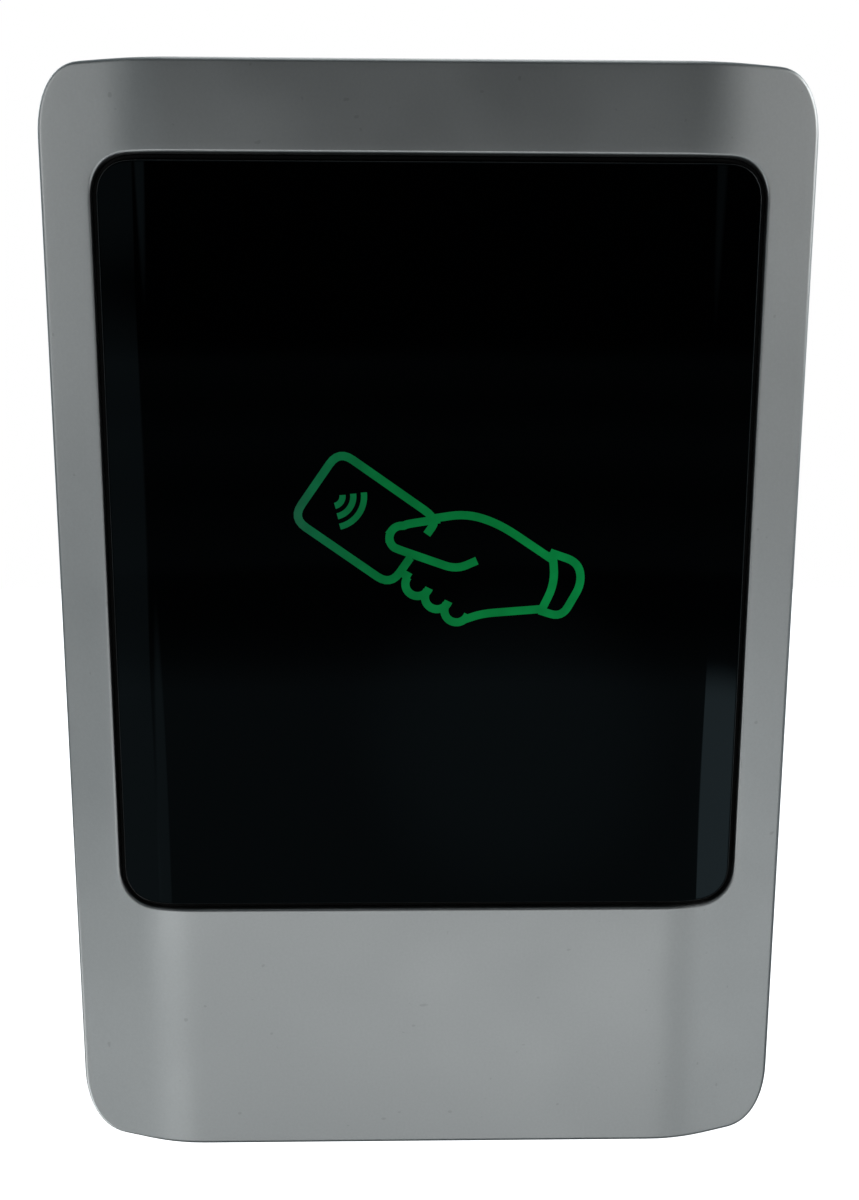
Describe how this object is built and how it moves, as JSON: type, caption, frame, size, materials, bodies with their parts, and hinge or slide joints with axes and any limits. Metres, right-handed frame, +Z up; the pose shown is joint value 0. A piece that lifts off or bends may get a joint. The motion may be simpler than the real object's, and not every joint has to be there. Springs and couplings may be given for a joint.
{
  "type": "ticket validator",
  "caption": "Wall-mounted contactless ticket validator: satin metal casing, black wrap-round glossy panel with a lit card symbol, hinged and locked on a shallow rear housing.",
  "frame": {"origin": "centre of the wall plate's back face, where it lies on the wall", "axes": "+Z up, +Y into the wall, so the front looks along -Y; +X to the right of a person who faces the front"},
  "size_m": [0.186, 0.085, 0.3004],
  "materials": {
    "satin_metal": "satin, bead-blasted silver-grey",
    "black_panel": "high-gloss black, like glass",
    "lit_green": "backlit green print",
    "black_rubber": "matt moulded seal",
    "dark_coat": "fine-textured dark grey powder coat",
    "ferrite": "matt flexible ferrite sheet",
    "zinc_steel": "zinc-plated sheet",
    "screw_steel": "bright stainless",
    "nickel": "bright nickel plate",
    "circuit_board": "green solder mask",
    "opal_plastic": "opal diffusing plastic",
    "black_plastic": "moulded, lightly textured",
    "brass": "plain turned brass"
  },
  "bodies": {
    "base": {"wall_plate": "zinc_steel", "rear_housing": "dark_coat", "housing_seal": "black_rubber", "housing_screw_1": "screw_steel", "housing_screw_2": "screw_steel", "housing_screw_3": "screw_steel", "housing_screw_4": "screw_steel", "base_hinge_leaf_1": "zinc_steel", "base_hinge_leaf_2": "zinc_steel", "hinge_pin_1": "screw_steel", "hinge_pin_2": "screw_steel", "gland_body": "black_plastic", "gland_nut": "black_plastic", "gland_cap": "black_plastic", "vent_plug": "black_plastic", "lock_barrel": "nickel", "lock_nut": "nickel", "tamper_switch": "black_plastic", "tamper_bracket": "zinc_steel", "earth_stud": "brass", "earth_nut": "brass"},
    "cover": {"front_casing": "satin_metal", "front_panel": "black_panel", "panel_seal": "black_rubber", "card_pictogram": "lit_green", "light_guide": "opal_plastic", "led_board": "circuit_board", "antenna_board": "circuit_board", "ferrite_sheet": "ferrite", "carrier_frame": "zinc_steel", "carrier_screw_1": "screw_steel", "carrier_screw_2": "screw_steel", "carrier_screw_3": "screw_steel", "carrier_screw_4": "screw_steel", "board_tray": "zinc_steel", "tray_screw_1": "screw_steel", "tray_screw_2": "screw_steel", "tray_screw_3": "screw_steel", "tray_screw_4": "screw_steel", "main_board": "circuit_board", "board_screw_1": "screw_steel", "board_screw_2": "screw_steel", "board_screw_3": "screw_steel", "board_screw_4": "screw_steel", "modem_module": "nickel", "backup_cell": "nickel", "terminal_block": "black_plastic", "network_jack": "nickel", "buzzer": "black_plastic", "lock_strike": "zinc_steel", "strike_screw_1": "screw_steel", "strike_screw_2": "screw_steel", "cover_hinge_leaf_1": "satin_metal", "cover_hinge_leaf_2": "satin_metal"},
    "lock": {"lock_plug": "nickel", "lock_cam": "zinc_steel", "cam_screw": "screw_steel"},
    "tamper": {"tamper_plunger": "opal_plastic"}
  },
  "joints": [
    {"name": "cover_hinge", "type": "hinge", "parent": "base", "child": "cover", "pos_m": [0, -0.0375, 0.1408], "axis": [-1, 0, 0], "range_deg": [0, 95]},
    {"name": "lock_turn", "type": "hinge", "parent": "base", "child": "lock", "pos_m": [0, -0.02, -0.1082], "axis": [0, 0, 1], "range_deg": [0, 90]},
    {"name": "tamper_slide", "type": "slide", "parent": "base", "child": "tamper", "axis": [0, -1, 0], "range_m": [0, 0.0025]}
  ],
  "couplings": [
    {"joint": "tamper_slide", "follows": "cover_hinge", "m_per_rad": 0.0015}
  ]
}
